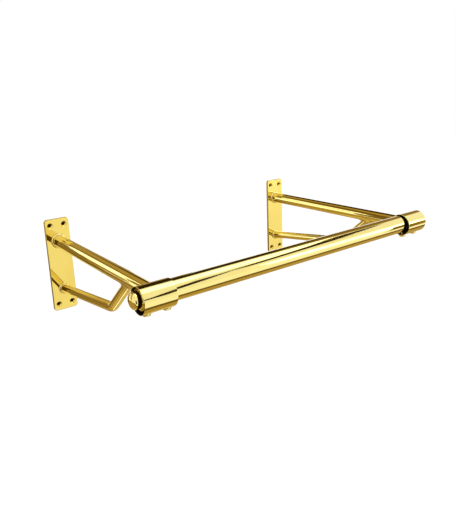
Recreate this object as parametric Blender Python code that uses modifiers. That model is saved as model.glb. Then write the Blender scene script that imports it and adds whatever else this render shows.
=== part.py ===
"""Wall-mounted clothes rail in polished brass.

Two wall plates each carry a level arm tube and a bent brace rod. The arm ends in a sleeve, and one
round rail runs through both sleeves, where grub screws in bosses under each sleeve press it upwards.
X runs along the rail, the wall is the plane y = 0, the rail stands out towards -Y, and +Z is up.
"""
import math

import bmesh
import bpy
from mathutils import Vector

# Driving dimensions, in metres
FIT = 0.0003                # gap between pieces that touch
BRACKET_SPACING = 0.472     # between the two arm axes
PROJECTION = 0.325          # wall to sleeve axis
ARM_HEIGHT = 0.0405         # arm and sleeve axis above the plate's middle

PLATE_WIDTH = 0.040
PLATE_HEIGHT = 0.155
PLATE_THICKNESS = 0.004
PLATE_CORNER = 0.005        # corner radius seen from the front
PLATE_EDGE = 0.0007         # rounding of the front edge
HOLE_MARGIN_SIDE = 0.0085   # hole axis to the plate's side edge
HOLE_MARGIN_END = 0.0105    # hole axis to the plate's top or bottom edge
HOLE_DIAMETER = 0.005
COUNTERSINK_DIAMETER = 0.0095

ARM_DIAMETER = 0.020
ARM_WALL = 0.002
BRACE_DIAMETER = 0.014
BRACE_DROP = 0.0415         # brace root below the plate's middle
BRACE_RISE = 0.0255         # from the root up to the bend
BEND_OUT = 0.193            # wall to the corner of the bend
BEND_RADIUS = 0.028         # on the rod's centre line
BRACE_REACH = 0.2565        # wall to where the brace meets the arm's axis

RAIL_DIAMETER = 0.028
RAIL_WALL = 0.0015
RAIL_SET_BACK = 0.003       # tube end inside the sleeve's outer mouth
SLEEVE_BORE = 0.033
SLEEVE_WALL = 0.0008
REST_ANGLE = math.radians(25)   # where the rail lies in the bores: on the wall side, this far above level
SLEEVE_INNER = 0.0165       # sleeve end beyond the arm axis, towards the middle of the rail
SLEEVE_OUTER = 0.0275       # sleeve end beyond the arm axis, away from the middle
MOUTH_CHAMFER = 0.0003

SCREW_DIAMETER = 0.005
INNER_SCREW_MARGIN = 0.0065     # screw axis to the sleeve's end nearer the middle of the rail
OUTER_SCREW_MARGIN = 0.010      # screw axis to the sleeve's outer end
SCREW_RECESS = 0.0005       # screw's outer end above the boss face
SOCKET_WIDTH = 0.0025       # across the flats of the hexagon socket
SOCKET_DEPTH = 0.002
BOSS_DIAMETER = 0.010
BOSS_HEIGHT = 0.003         # below the sleeve's underside
BOSS_EDGE = 0.0006

CAP_DIAMETER = 0.0212
CAP_DOME = 0.005
CAP_STEM = 0.0073           # straight side from the tube's end to the dome
CAP_PLUG = 0.012            # length inside the tube
PLUG_CHAMFER = 0.001

ARM_BEAD = 0.003            # leg of the brazed bead round the arm's root
BRACE_BEAD = 0.0025         # leg of the brazed bead round the brace's root
TOP_BEAD = 0.0015           # leg of the saddle bead where the brace meets the arm
SLEEVE_BEAD = 0.0025        # leg of the saddle bead where the arm meets the sleeve
BEAD_LIP = 0.0003           # thickness of a bead's thin edge

OVERCUT = 0.001             # how far a cutter runs past the piece it cuts
MERGE = 0.00001             # points nearer than this become one
FINE_STEPS = 48
SMALL_STEPS = 24
BEAD_STEPS = 32
BEND_STEPS = 8
ARC_STEPS = 5
ROD_SIDES = 24

SMOOTH_ANGLE = math.radians(35)
BRASS = (0.83, 0.60, 0.17, 1.0)
BEAD_BRASS = (0.86, 0.66, 0.26, 1.0)
MIRROR = 0.10               # roughness of the polished tube and plate
BUFFED = 0.14               # roughness of the bent rod
BRAZED = 0.20
TURNED = 0.25

# Sizes that follow from the driving dimensions
SLEEVE_DIAMETER = SLEEVE_BORE + 2 * SLEEVE_WALL
RAIL_PLAY = (SLEEVE_BORE - RAIL_DIAMETER) / 2 - FIT
RAIL_LIFT = RAIL_PLAY * math.sin(REST_ANGLE)
RAIL_BACK = RAIL_PLAY * math.cos(REST_ANGLE)
PLATE_FRONT = PLATE_THICKNESS + FIT
RAIL_HALF = BRACKET_SPACING / 2 + SLEEVE_OUTER - RAIL_SET_BACK
PLUG_DIAMETER = RAIL_DIAMETER - 2 * RAIL_WALL - 2 * FIT
SCREW_HOLE = SCREW_DIAMETER + 2 * FIT

ALONG_X = (0.0, math.pi / 2, 0.0)
OUT_OF_WALL = (math.pi / 2, 0.0, 0.0)
TO_WALL = (-math.pi / 2, 0.0, 0.0)
UPRIGHT = (0.0, 0.0, 0.0)


def clear_scene():
    for item in list(bpy.data.objects):
        bpy.data.objects.remove(item, do_unlink=True)


def new_collection(name):
    group = bpy.data.collections.new(name)
    bpy.context.scene.collection.children.link(group)
    return group


def make_brass(name, colour, roughness):
    material = bpy.data.materials.new(name)
    material.use_nodes = True
    shader = material.node_tree.nodes["Principled BSDF"]
    shader.inputs["Base Color"].default_value = colour
    shader.inputs["Metallic"].default_value = 1.0
    shader.inputs["Roughness"].default_value = roughness
    return material


def place(name, mesh, group, location, rotation, parent):
    item = bpy.data.objects.new(name, mesh)
    group.objects.link(item)
    item.location = location
    item.rotation_euler = rotation
    item.parent = parent
    return item


def as_cutter(item):
    item.hide_render = True
    item.display_type = "WIRE"
    return item


def quarter_arc(centre, radius_r, radius_h, start, end, steps=ARC_STEPS):
    """Points of an elliptic arc round a centre given as (radius, height)."""
    points = []
    for i in range(steps + 1):
        angle = start + (end - start) * i / steps
        points.append((centre[0] + radius_r * math.cos(angle), centre[1] + radius_h * math.sin(angle)))
    return points


def turned(name, outline, group, steps, location=(0, 0, 0), rotation=UPRIGHT, parent=None, ring=True):
    """A solid of revolution about local Z. The outline runs down its outer side, top to bottom."""
    mesh = bpy.data.meshes.new(name)
    points = [(radius, 0.0, height) for radius, height in outline]
    edges = [(i, i + 1) for i in range(len(points) - 1)]
    if ring:
        edges.append((len(points) - 1, 0))
    mesh.from_pydata(points, edges, [])
    item = place(name, mesh, group, location, rotation, parent)
    screw = item.modifiers.new("Turn", "SCREW")
    screw.axis = "Z"
    screw.angle = 2 * math.pi
    screw.steps = steps
    screw.render_steps = steps
    screw.use_merge_vertices = True
    screw.merge_threshold = MERGE
    screw.use_smooth_shade = True
    return item


def rod_cutter(name, diameter, length, location, rotation, parent, steps=FINE_STEPS):
    """A plain round cutter, centred on its location."""
    radius, half = diameter / 2, length / 2
    outline = [(0.0, half), (radius, half), (radius, -half), (0.0, -half)]
    return as_cutter(turned(name, outline, cutters, steps, location, rotation, parent, ring=False))


def box_cutter(name, low, high, parent):
    mesh = bpy.data.meshes.new(name)
    shape = bmesh.new()
    bmesh.ops.create_cube(shape, size=1.0)
    low, high = Vector(low), Vector(high)
    for vert in shape.verts:
        vert.co = (low + high) / 2 + vert.co * (high - low)
    shape.to_mesh(mesh)
    shape.free()
    return as_cutter(place(name, mesh, cutters, (0, 0, 0), UPRIGHT, parent))


def combine(item, tool, operation):
    boolean = item.modifiers.new(operation.title() + " " + tool.name, "BOOLEAN")
    boolean.operation = operation
    boolean.solver = "EXACT"
    boolean.object = tool


def cut(item, *tools):
    for tool in tools:
        combine(item, tool, "DIFFERENCE")


def finish(item, material):
    item.data.materials.append(material)
    item.data.shade_smooth()
    item.data.set_sharp_from_angle(angle=SMOOTH_ANGLE)


def tube_outline(outer, inner, low, high, chamfer=0.0):
    """Closed outline of a tube wall, with chamfered outer ends when a chamfer is given."""
    if chamfer == 0.0:
        return [(outer, high), (outer, low), (inner, low), (inner, high)]
    return [
        (outer - chamfer, high), (outer, high - chamfer), (outer, low + chamfer), (outer - chamfer, low),
        (inner, low), (inner, high),
    ]


def bead_outline(inner, leg, low, start):
    """Concave bead round a rod: full width from low up to start, then falling away within one leg."""
    curve = quarter_arc((inner + leg, start + leg), leg - BEAD_LIP, leg, math.pi, 1.5 * math.pi)
    return curve + [(inner + leg, low), (inner, low), (inner, start + leg)]


def saddle_bead(name, inner, leg, length, location, rotation, bracket, core, shell):
    """Bead that follows a round host: a ring round the rod, kept within the shell and cut by the core."""
    outline = tube_outline(inner + leg, inner, 0.0, length)
    bead = turned(name, outline, parts, BEAD_STEPS, location, rotation, bracket)
    combine(bead, shell, "INTERSECT")
    cut(bead, core)
    return bead


def wall_plate(side, bracket):
    """Flat plate with round corners, a softened front edge and four countersunk holes."""
    mesh = bpy.data.meshes.new(side + "_wall_plate")
    shape = bmesh.new()
    bmesh.ops.create_cube(shape, size=1.0)
    for vert in shape.verts:
        vert.co.x *= PLATE_WIDTH
        vert.co.y = (vert.co.y - 0.5) * PLATE_THICKNESS
        vert.co.z *= PLATE_HEIGHT
    corners = [e for e in shape.edges if abs(e.verts[0].co.y - e.verts[1].co.y) > PLATE_THICKNESS / 2]
    bmesh.ops.bevel(shape, geom=corners, offset=PLATE_CORNER, segments=ARC_STEPS, profile=0.5, affect="EDGES")
    front = [e for e in shape.edges if all(v.co.y < -PLATE_THICKNESS / 2 for v in e.verts)]
    bmesh.ops.bevel(shape, geom=front, offset=PLATE_EDGE, segments=2, profile=0.5, affect="EDGES")
    shape.to_mesh(mesh)
    shape.free()
    plate = place(side + "_wall_plate", mesh, parts, (0, 0, 0), UPRIGHT, bracket)
    cut(plate, *plate_hole_cutters(side, bracket))
    finish(plate, plate_brass)


def plate_hole_cutters(side, bracket):
    hole = HOLE_DIAMETER / 2
    sink = COUNTERSINK_DIAMETER / 2
    top = PLATE_THICKNESS + OVERCUT
    wide = sink + OVERCUT
    outline = [(0.0, top), (wide, top), (hole, top - wide + hole), (hole, -OVERCUT), (0.0, -OVERCUT)]
    across = PLATE_WIDTH / 2 - HOLE_MARGIN_SIDE
    up = PLATE_HEIGHT / 2 - HOLE_MARGIN_END
    tools = []
    for x in (-across, across):
        for z in (-up, up):
            name = f"{side}_plate_hole_{len(tools) + 1}"
            tool = turned(name, outline, cutters, SMALL_STEPS, (x, 0, z), OUT_OF_WALL, bracket, ring=False)
            tools.append(as_cutter(tool))
    return tools


def brace_path():
    """Centre line of the brace in the bracket's plane: root, bend and the point on the arm's axis."""
    root = Vector((0.0, 0.0, -BRACE_DROP))
    corner = Vector((0.0, -BEND_OUT, BRACE_RISE - BRACE_DROP))
    top = Vector((0.0, -BRACE_REACH, ARM_HEIGHT))
    lower = (corner - root).normalized()
    upper = (top - corner).normalized()
    turn = lower.angle(upper)
    back = BEND_RADIUS * math.tan(turn / 2)
    start = corner - lower * back
    towards = (upper - lower * lower.dot(upper)).normalized()
    centre = start + towards * BEND_RADIUS
    bend = []
    for i in range(BEND_STEPS + 1):
        angle = turn * i / BEND_STEPS
        bend.append(centre + (lower * math.sin(angle) - towards * math.cos(angle)) * BEND_RADIUS)
    return root, bend, top


def tilt_along(direction):
    """Turn that points local Z along a direction in the bracket's own plane."""
    return (math.atan2(-direction.y, direction.z), 0.0, 0.0)


def brace_rod(side, bracket, wall_block, arm_core):
    root, bend, top = brace_path()
    line = bpy.data.curves.new(side + "_brace_line", "CURVE")
    line.dimensions = "3D"
    line.bevel_depth = BRACE_DIAMETER / 2
    line.bevel_resolution = (ROD_SIDES - 4) // 2
    line.use_fill_caps = True
    spline = line.splines.new("POLY")
    points = [root] + bend + [top]
    spline.points.add(len(points) - 1)
    for point, place_at in zip(spline.points, points):
        point.co = (*place_at, 1.0)
    guide = place(side + "_brace_line", line, parts, (0, 0, 0), UPRIGHT, bracket)
    bpy.context.view_layer.update()
    swept = guide.evaluated_get(bpy.context.evaluated_depsgraph_get())
    mesh = bpy.data.meshes.new_from_object(swept)
    shape = bmesh.new()
    shape.from_mesh(mesh)
    bmesh.ops.remove_doubles(shape, verts=shape.verts, dist=MERGE)
    shape.to_mesh(mesh)
    shape.free()
    mesh.materials.clear()
    rod = place(side + "_brace_rod", mesh, parts, (0, 0, 0), UPRIGHT, bracket)
    bpy.data.objects.remove(guide, do_unlink=True)
    cut(rod, wall_block, arm_core)
    finish(rod, rod_brass)


def arm_tube(side, bracket, sleeve_core):
    radius = ARM_DIAMETER / 2
    outline = tube_outline(radius, radius - ARM_WALL, PLATE_FRONT, PROJECTION)
    arm = turned(side + "_arm_tube", outline, parts, FINE_STEPS, (0, 0, ARM_HEIGHT), OUT_OF_WALL, bracket)
    cut(arm, sleeve_core)
    finish(arm, tube_brass)


def beads(side, bracket, wall_block, arm_core, sleeve_core):
    """Brazed beads at the arm's root, the brace's root, the brace's top and the sleeve."""
    root, bend, top = brace_path()
    lower = (bend[0] - root).normalized()
    upper = top - bend[-1]
    arm_inner = ARM_DIAMETER / 2 + FIT
    rod_inner = BRACE_DIAMETER / 2 + FIT
    outline = bead_outline(arm_inner, ARM_BEAD, PLATE_FRONT, PLATE_FRONT)
    on_arm = (0, 0, ARM_HEIGHT)
    arm_root = turned(side + "_arm_root_bead", outline, parts, BEAD_STEPS, on_arm, OUT_OF_WALL, bracket)
    slant = (rod_inner + BRACE_BEAD) * abs(lower.z)
    outline = bead_outline(rod_inner, BRACE_BEAD, 0.0, PLATE_FRONT + slant)
    lean = tilt_along(lower)
    brace_root = turned(side + "_brace_root_bead", outline, parts, BEAD_STEPS, root, lean, bracket)
    cut(brace_root, wall_block)
    arm_shell = rod_cutter(
        side + "_arm_shell", ARM_DIAMETER + 2 * TOP_BEAD, 2 * PROJECTION,
        (0, -PROJECTION / 2, ARM_HEIGHT), OUT_OF_WALL, bracket)
    top_bead = saddle_bead(
        side + "_brace_top_bead", rod_inner, TOP_BEAD, upper.length, top, tilt_along(-upper),
        bracket, arm_core, arm_shell)
    at_sleeve = (0, -PROJECTION, ARM_HEIGHT)
    sleeve_shell = rod_cutter(
        side + "_sleeve_shell", SLEEVE_DIAMETER + 2 * SLEEVE_BEAD, 4 * SLEEVE_DIAMETER,
        at_sleeve, ALONG_X, bracket)
    neck = saddle_bead(
        side + "_sleeve_bead", arm_inner, SLEEVE_BEAD, SLEEVE_DIAMETER, at_sleeve, TO_WALL,
        bracket, sleeve_core, sleeve_shell)
    for bead in (arm_root, brace_root, top_bead, neck):
        finish(bead, bead_brass)


def rail_sleeve(side, bracket, outward):
    """Short tube that the rail passes through, with one hole in its underside for each grub screw."""
    outer = SLEEVE_DIAMETER / 2
    inner = SLEEVE_BORE / 2
    ends = sorted((-SLEEVE_INNER * outward, SLEEVE_OUTER * outward))
    outline = tube_outline(outer, inner, ends[0], ends[1], MOUTH_CHAMFER)
    centre = (0, -PROJECTION, ARM_HEIGHT)
    sleeve = turned(side + "_rail_sleeve", outline, parts, FINE_STEPS, centre, ALONG_X, bracket)
    for label, x in screw_places(outward):
        middle = (x, -PROJECTION, ARM_HEIGHT - (outer + inner) / 2)
        length = SLEEVE_WALL + 4 * OVERCUT
        name = f"{side}_{label}_screw_hole"
        cut(sleeve, rod_cutter(name, SCREW_HOLE, length, middle, UPRIGHT, bracket, SMALL_STEPS))
    finish(sleeve, tube_brass)


def screw_places(outward):
    """Where the inner and the outer grub screw stand along X, from the arm's axis."""
    inner = (INNER_SCREW_MARGIN - SLEEVE_INNER) * outward
    outer = (SLEEVE_OUTER - OUTER_SCREW_MARGIN) * outward
    return (("inner", inner), ("outer", outer))


def screw_boss(side, label, x, bracket, sleeve_core):
    """Round pad brazed under the sleeve, which gives the grub screw enough thread."""
    radius = BOSS_DIAMETER / 2
    hole = SCREW_HOLE / 2
    low = -SLEEVE_DIAMETER / 2 - BOSS_HEIGHT
    outline = [
        (radius, 0.0), (radius, low + BOSS_EDGE), (radius - BOSS_EDGE, low), (hole, low), (hole, 0.0),
    ]
    centre = (x, -PROJECTION, ARM_HEIGHT)
    boss = turned(f"{side}_{label}_screw_boss", outline, parts, SMALL_STEPS, centre, UPRIGHT, bracket)
    cut(boss, sleeve_core)
    finish(boss, bead_brass)


def grub_screw(side, label, x, bracket):
    """Headless screw with a hexagon socket, its tip just under the rail."""
    radius = SCREW_DIAMETER / 2
    tip = RAIL_LIFT - RAIL_DIAMETER / 2 - FIT
    foot = -SLEEVE_DIAMETER / 2 - BOSS_HEIGHT + SCREW_RECESS
    chamfer = radius / 4
    outline = [
        (0.0, tip), (radius - chamfer, tip), (radius, tip - chamfer),
        (radius, foot + chamfer), (radius - chamfer, foot), (0.0, foot),
    ]
    centre = (x, -PROJECTION, ARM_HEIGHT)
    name = f"{side}_{label}_grub_screw"
    screw = turned(name, outline, parts, SMALL_STEPS, centre, UPRIGHT, bracket, ring=False)
    across_corners = SOCKET_WIDTH / math.cos(math.pi / 6)
    middle = (x, -PROJECTION, ARM_HEIGHT + foot)
    socket = rod_cutter(name + "_socket", across_corners, 2 * SOCKET_DEPTH, middle, UPRIGHT, bracket, steps=6)
    cut(screw, socket)
    finish(screw, screw_brass)


def build_bracket(side, outward):
    bracket = bpy.data.objects.new(side + "_bracket", None)
    parts.objects.link(bracket)
    bracket.location = (outward * BRACKET_SPACING / 2, 0, 0)
    reach = PLATE_HEIGHT + PLATE_WIDTH
    wall_low = (-reach, -PLATE_FRONT, -reach)
    wall_block = box_cutter(side + "_wall_block", wall_low, (reach, reach, reach), bracket)
    arm_middle = (0, -PROJECTION / 2, ARM_HEIGHT)
    arm_core = rod_cutter(
        side + "_arm_core", ARM_DIAMETER + 2 * FIT, 2 * PROJECTION, arm_middle, OUT_OF_WALL, bracket)
    sleeve_middle = (0, -PROJECTION, ARM_HEIGHT)
    core_length = 4 * (SLEEVE_INNER + SLEEVE_OUTER + ARM_DIAMETER)
    sleeve_core = rod_cutter(
        side + "_sleeve_core", SLEEVE_DIAMETER + 2 * FIT, core_length, sleeve_middle, ALONG_X, bracket)
    wall_plate(side, bracket)
    arm_tube(side, bracket, sleeve_core)
    brace_rod(side, bracket, wall_block, arm_core)
    beads(side, bracket, wall_block, arm_core, sleeve_core)
    rail_sleeve(side, bracket, outward)
    for label, x in screw_places(outward):
        screw_boss(side, label, x, bracket, sleeve_core)
        grub_screw(side, label, x, bracket)


def build_rail():
    """Rail tube lying high in both bores and towards the wall, with a slim domed plug in each end."""
    rail = bpy.data.objects.new("rail", None)
    parts.objects.link(rail)
    rail.location = (0, RAIL_BACK - PROJECTION, ARM_HEIGHT + RAIL_LIFT)
    radius = RAIL_DIAMETER / 2
    outline = tube_outline(radius, radius - RAIL_WALL, -RAIL_HALF, RAIL_HALF)
    tube = turned("rail_tube", outline, parts, FINE_STEPS, (0, 0, 0), ALONG_X, rail)
    finish(tube, tube_brass)
    plug = PLUG_DIAMETER / 2
    stem = CAP_DIAMETER / 2
    outline = quarter_arc((0.0, CAP_STEM), stem, CAP_DOME, math.pi / 2, 0.0, 2 * ARC_STEPS)
    outline += [
        (stem, 0.0), (plug, 0.0), (plug, PLUG_CHAMFER - CAP_PLUG),
        (plug - PLUG_CHAMFER, -CAP_PLUG), (0.0, -CAP_PLUG),
    ]
    for side, outward in SIDES:
        seat = (outward * RAIL_HALF, 0, 0)
        facing = (0.0, outward * math.pi / 2, 0.0)
        cap = turned(side + "_end_cap", outline, parts, FINE_STEPS, seat, facing, rail, ring=False)
        finish(cap, cap_brass)


SIDES = (("left", -1), ("right", 1))

clear_scene()
parts = new_collection("wall_mounted_clothes_rail")
cutters = new_collection("cutters")
plate_brass = make_brass("polished plate brass", BRASS, MIRROR)
tube_brass = make_brass("polished tube brass", BRASS, MIRROR)
rod_brass = make_brass("polished rod brass", BRASS, BUFFED)
cap_brass = make_brass("polished cap brass", BRASS, MIRROR)
screw_brass = make_brass("turned screw brass", BRASS, TURNED)
bead_brass = make_brass("brazed bead brass", BEAD_BRASS, BRAZED)
for side_name, side_sign in SIDES:
    build_bracket(side_name, side_sign)
build_rail()
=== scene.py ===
# %% [markdown]
# # A wall-mounted clothes rail in polished brass
# Two brackets stand out from the wall. Each is a flat plate, a round arm, a bent brace under the arm and a
# sleeve across the arm's end. One long rail lies in both sleeves and is held by small grub screws from below.
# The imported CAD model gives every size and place, so it is loaded first and stays as it is. The pieces made
# here stand in for its faceted solids with rounder tubes, filled joints and a mirror finish.

import math
from contextlib import contextmanager

import bmesh
import bpy
from mathutils import Matrix, Vector


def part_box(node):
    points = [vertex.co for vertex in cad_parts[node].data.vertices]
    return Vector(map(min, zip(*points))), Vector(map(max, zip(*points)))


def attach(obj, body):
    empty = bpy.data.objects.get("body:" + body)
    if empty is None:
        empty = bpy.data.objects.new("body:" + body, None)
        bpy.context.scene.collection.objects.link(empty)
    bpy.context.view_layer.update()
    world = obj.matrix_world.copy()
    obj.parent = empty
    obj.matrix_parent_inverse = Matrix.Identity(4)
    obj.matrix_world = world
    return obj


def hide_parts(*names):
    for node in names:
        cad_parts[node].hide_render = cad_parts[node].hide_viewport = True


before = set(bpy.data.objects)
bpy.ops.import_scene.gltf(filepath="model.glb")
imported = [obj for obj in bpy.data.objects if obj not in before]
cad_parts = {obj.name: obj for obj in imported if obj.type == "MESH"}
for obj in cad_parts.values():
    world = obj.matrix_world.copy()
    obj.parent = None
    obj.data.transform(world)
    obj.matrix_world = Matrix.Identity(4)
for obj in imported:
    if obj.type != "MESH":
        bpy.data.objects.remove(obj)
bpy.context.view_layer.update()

# %% [markdown]
# ## The camera
# The photograph looks at the rail from its left, a little from above. The camera's place was found by matching
# the corners of the plates, the screw holes and the edges of the rail. It could be aimed by a constraint, but
# a matrix built from its right, up and back directions also holds the small roll, and nothing has to be
# evaluated later. The rail isn't in the middle of its picture, so a small lens shift moves the optical centre.

# %% Camera at the photograph's angle
AZIMUTH, ELEVATION, ROLL = -0.61642, 0.24353, -0.04594
TARGET = Vector((-0.03392, -0.15811, 0.06234))
DISTANCE = 0.87646
FOCAL_PIXELS, OPTICAL_CENTRE = 546.70, (214.0, 222.0)
IMAGE_WIDTH, IMAGE_HEIGHT, SENSOR = 456, 512, 36.0

back = Vector((
    math.sin(AZIMUTH) * math.cos(ELEVATION), -math.cos(AZIMUTH) * math.cos(ELEVATION), math.sin(ELEVATION)))
level = (-back).cross(Vector((0, 0, 1))).normalized()
upright = level.cross(-back)
right = math.cos(ROLL) * level + math.sin(ROLL) * upright
up = math.cos(ROLL) * upright - math.sin(ROLL) * level

lens = bpy.data.cameras.new("photo_camera")
lens.sensor_width = SENSOR
lens.lens = FOCAL_PIXELS * SENSOR / IMAGE_HEIGHT
lens.shift_x = (IMAGE_WIDTH / 2 - OPTICAL_CENTRE[0]) / IMAGE_HEIGHT
lens.shift_y = (OPTICAL_CENTRE[1] - IMAGE_HEIGHT / 2) / IMAGE_HEIGHT
camera = bpy.data.objects.new("photo_camera", lens)
turn = Matrix((right, up, back)).transposed().to_4x4()
camera.matrix_world = Matrix.Translation(TARGET + DISTANCE * back) @ turn
bpy.context.scene.collection.objects.link(camera)
bpy.context.scene.camera = camera
bpy.context.scene.view_settings.view_transform = "Standard"
print("camera at", [round(x, 3) for x in camera.location], "lens", round(lens.lens, 2), "mm")

# %% [markdown]
# ## Tools for modelling by hand
# Operators work on what is selected, and loading leaves the CAD nodes selected. These helpers keep that in
# order: one piece at a time is selected and opened in edit mode, and its faces or edges are picked by place.

# %% Selecting and editing one piece at a time
def only(piece):
    """Selects one piece and nothing else."""
    bpy.ops.object.select_all(action="DESELECT")
    piece.select_set(True)
    bpy.context.view_layer.objects.active = piece


@contextmanager
def editing(piece, kind="FACE"):
    """Opens a piece in edit mode with nothing selected."""
    only(piece)
    bpy.ops.object.mode_set(mode="EDIT")
    bpy.ops.mesh.select_mode(type=kind)
    bpy.ops.mesh.select_all(action="DESELECT")
    yield
    bpy.ops.object.mode_set(mode="OBJECT")


def pick(piece, kind, test):
    """Selects the verts, edges or faces that pass a test."""
    mesh = bmesh.from_edit_mesh(piece.data)
    chosen = [part for part in getattr(mesh, kind) if test(part)]
    for part in chosen:
        part.select_set(True)
    bmesh.update_edit_mesh(piece.data)
    return len(chosen)


def settle(name):
    """Names the primitive that was just added and moves its place and turn into its mesh."""
    piece = bpy.context.object
    piece.name = piece.data.name = name
    only(piece)
    bpy.ops.object.transform_apply(location=True, rotation=True, scale=True)
    return piece


# %% [markdown]
# Cutting uses the Boolean modifier with its exact solver, the way a notch is filed into a tube end so that it
# sits on another tube. The tool is deleted once the modifier has been applied, and corners that fell on the
# same place are merged.

# %% Cutting one shape with another
SAME_PLACE = 1e-6


def cut(piece, tool):
    """Takes a tool's shape out of a piece and deletes the tool."""
    only(piece)
    notch = piece.modifiers.new("notch", "BOOLEAN")
    notch.operation, notch.solver, notch.object = "DIFFERENCE", "EXACT", tool
    bpy.ops.object.modifier_apply(modifier=notch.name)
    bpy.data.objects.remove(tool)
    with editing(piece, "VERT"):
        bpy.ops.mesh.select_all(action="SELECT")
        bpy.ops.mesh.remove_doubles(threshold=SAME_PLACE)


def round_bar(name, start, end, radius, sides):
    """A solid bar between two points."""
    start, end = Vector(start), Vector(end)
    along = end - start
    bpy.ops.object.select_all(action="DESELECT")
    bpy.ops.mesh.primitive_cylinder_add(
        vertices=sides, radius=radius, depth=along.length, location=(start + end) / 2,
        rotation=along.to_track_quat("Z", "Y").to_euler())
    return settle(name)


# %% [markdown]
# A tube could be a curve with a bevel, but a drawn tube has a wall. Here a cylinder's two end faces are inset by
# the wall and bridged through the middle, which leaves one closed skin, and the sharp rims are broken by a
# fine bevel as a maker breaks them with a file.

# %% Drawn tubes
TUBE_SIDES, RIM_SEGMENTS = 128, 3


def drawn_tube(name, start, end, radius, wall, rim=0.0, sides=TUBE_SIDES):
    """A tube between two points, with its rims broken by a bevel."""
    tube = round_bar(name, start, end, radius, sides)
    start, axis = Vector(start), (Vector(end) - Vector(start)).normalized()

    def along_and_out(vert):
        """How far a vertex lies along the tube's axis, and how far out from it."""
        offset = vert.co - start
        along = offset.dot(axis)
        return along, (offset - along * axis).length

    def goes_round(edge):
        """True for an edge that runs round the axis, as a rim does."""
        (along, out), (next_along, next_out) = map(along_and_out, edge.verts)
        return abs(along - next_along) < SAME_PLACE and abs(out - next_out) < SAME_PLACE

    with editing(tube):
        pick(tube, "faces", lambda face: len(face.verts) == sides)
        bpy.ops.mesh.inset(thickness=wall)
        bpy.ops.mesh.bridge_edge_loops()
    if rim:
        with editing(tube, "EDGE"):
            pick(tube, "edges", goes_round)
            bpy.ops.mesh.bevel(offset=rim, segments=RIM_SEGMENTS, affect="EDGES")
    return tube


# %% [markdown]
# Caps, screws and joint rings are turned shapes. A lathe is imitated by drawing half a section and spinning it
# round an axis. Where the section touches the axis, the last edge is left out, so the pole closes when the
# doubles are merged.

# %% Turned shapes
def turned(name, section, centre, axis, steps=96):
    """Spins a section, given as (distance from the axis, height along it), round an axis."""
    centre, axis = Vector(centre), Vector(axis).normalized()
    to_place = axis.to_track_quat("Z", "Y").to_matrix()
    bpy.ops.object.select_all(action="DESELECT")
    bpy.ops.mesh.primitive_circle_add(vertices=len(section), radius=1.0, fill_type="NOTHING")
    piece = settle(name)
    for vert, (reach, height) in zip(piece.data.vertices, section):
        vert.co = centre + to_place @ Vector((reach, 0.0, height))

    def on_axis(edge):
        """True for an edge that lies on the axis."""
        return all((vert.co - centre).cross(axis).length < SAME_PLACE for vert in edge.verts)

    with editing(piece, "EDGE"):
        if pick(piece, "edges", on_axis):
            bpy.ops.mesh.delete(type="EDGE")
        bpy.ops.mesh.select_all(action="SELECT")
        bpy.ops.mesh.spin(steps=steps, angle=2 * math.pi, center=centre, axis=axis)
        bpy.ops.mesh.select_all(action="SELECT")
        bpy.ops.mesh.remove_doubles(threshold=SAME_PLACE)
        bpy.ops.mesh.normals_make_consistent(inside=False)
    return piece


def arc(centre, reach, height, start, end, steps):
    """Points of an elliptical arc in a section, from one angle to another in degrees."""
    angles = [math.radians(start + (end - start) * i / steps) for i in range(steps + 1)]
    return [(centre[0] + reach * math.cos(a), centre[1] + height * math.sin(a)) for a in angles]


# %% [markdown]
# ## Wall plates
# Each plate is a strip of flat brass with rounded corners, a softened front edge and four countersunk holes.
# It is made from a cube: the corner edges and then the front edge are bevelled. The holes are cut last with one
# joined tool, so their rims stay true circles.

# %% Plate with rounded corners
PLATE_CORNER, CORNER_SEGMENTS = 0.005, 12
PLATE_EDGE, EDGE_SEGMENTS = 0.0009, 5
plate_low, plate_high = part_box("left_wall_plate")
plate_size = plate_high - plate_low
plate_middle = (plate_low + plate_high) / 2
bracket_x = plate_middle.x
plate_front = plate_low.y

bpy.ops.object.select_all(action="DESELECT")
bpy.ops.mesh.primitive_cube_add(size=1.0, location=plate_middle, scale=plate_size)
left_plate = settle("left_plate")
with editing(left_plate, "EDGE"):
    pick(left_plate, "edges", lambda edge: abs(edge.verts[0].co.y - edge.verts[1].co.y) > plate_size.y / 2)
    bpy.ops.mesh.bevel(offset=PLATE_CORNER, segments=CORNER_SEGMENTS, affect="EDGES")
with editing(left_plate, "EDGE"):
    pick(left_plate, "edges", lambda edge: all(vert.co.y < plate_front + SAME_PLACE for vert in edge.verts))
    bpy.ops.mesh.bevel(offset=PLATE_EDGE, segments=EDGE_SEGMENTS, affect="EDGES")
print("plate", [round(1000 * size, 1) for size in plate_size], "mm")

# %% Countersunk screw holes
HOLE_ACROSS, HOLE_UP = 0.0115, 0.067
HOLE_RADIUS, SINK_RADIUS, SINK_DEPTH = 0.0025, 0.00475, 0.00225
SINK_STEPS, OVERCUT = 64, 0.001
HOLE_RIM, HOLE_RIM_SEGMENTS, RIM_MARGIN = 0.0002, 2, 1e-5
hole_places = [(bracket_x + sx * HOLE_ACROSS, sz * HOLE_UP) for sx in (-1, 1) for sz in (-1, 1)]
sink_section = [
    (0.0, -OVERCUT), (HOLE_RADIUS, -OVERCUT), (HOLE_RADIUS, plate_size.y - SINK_DEPTH),
    (SINK_RADIUS, plate_size.y), (SINK_RADIUS, plate_size.y + OVERCUT), (0.0, plate_size.y + OVERCUT),
]
drills = [turned("drill", sink_section, (x, 0.0, z), (0, -1, 0), SINK_STEPS) for x, z in hole_places]
only(drills[0])
for drill in drills:
    drill.select_set(True)
bpy.ops.object.join()
cut(left_plate, drills[0])


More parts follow.
